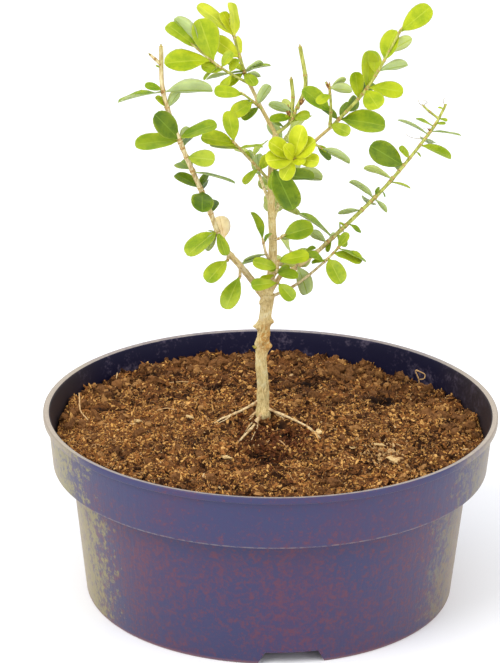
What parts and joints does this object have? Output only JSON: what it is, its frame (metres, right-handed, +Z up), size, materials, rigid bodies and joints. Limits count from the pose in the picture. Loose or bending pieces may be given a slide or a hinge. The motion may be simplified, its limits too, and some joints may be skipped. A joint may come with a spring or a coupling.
{
  "type": "potted boxwood bonsai",
  "caption": "Young boxwood grown as a small tree with a thin pale trunk, surface roots and open sprays of oval leaves, standing in peat in a round violet-grey plastic pot.",
  "frame": {"origin": "centre of the pot's foot ring, on the plane that the pot stands on", "axes": "+Z up along the pot's axis; -Y towards the viewer of the picture; +X to that viewer's right"},
  "size_m": [0.23, 0.23, 0.3102],
  "materials": {
    "pot": "dull violet-grey moulded plastic, weathered, with a worn lip",
    "peat": "crumbly brown peat with pale fibres",
    "bark": "pale straw bark, finely cracked, with corky scars",
    "root": "pale cream root bark, matt",
    "leaves": "smooth, slightly glossy leaves, yellow-green when young and dark green when old",
    "dry_leaf": "dry beige leaf, matt"
  },
  "bodies": {
    "root": {"pot": "pot", "soil": "peat", "trunk": "bark", "leader": "bark", "bough_left": "bark", "bough_right": "bark", "bough_upper_left": "bark", "bough_upper_right": "bark", "root_left": "root", "root_front_left": "root", "root_front": "root", "root_right": "root", "foliage_left": "leaves", "foliage_left_low": "leaves", "foliage_left_under": "leaves", "foliage_left_dry": "dry_leaf", "foliage_mid_left": "leaves", "foliage_top_left": "leaves", "foliage_top_left_side": "leaves", "foliage_top_left_base": "leaves", "foliage_centre": "leaves", "foliage_top_right": "leaves", "foliage_right_side": "leaves", "foliage_right_under": "leaves", "foliage_rosette": "leaves", "foliage_front": "leaves", "foliage_centre_right": "leaves", "foliage_centre_left": "leaves", "foliage_crotch": "leaves", "foliage_crotch_low": "leaves", "foliage_crotch_right": "leaves", "foliage_right": "leaves", "foliage_right_low": "leaves", "foliage_back": "leaves", "foliage_back_low": "leaves", "foliage_back_left": "leaves", "foliage_back_top": "leaves"}
  },
  "joints": []
}
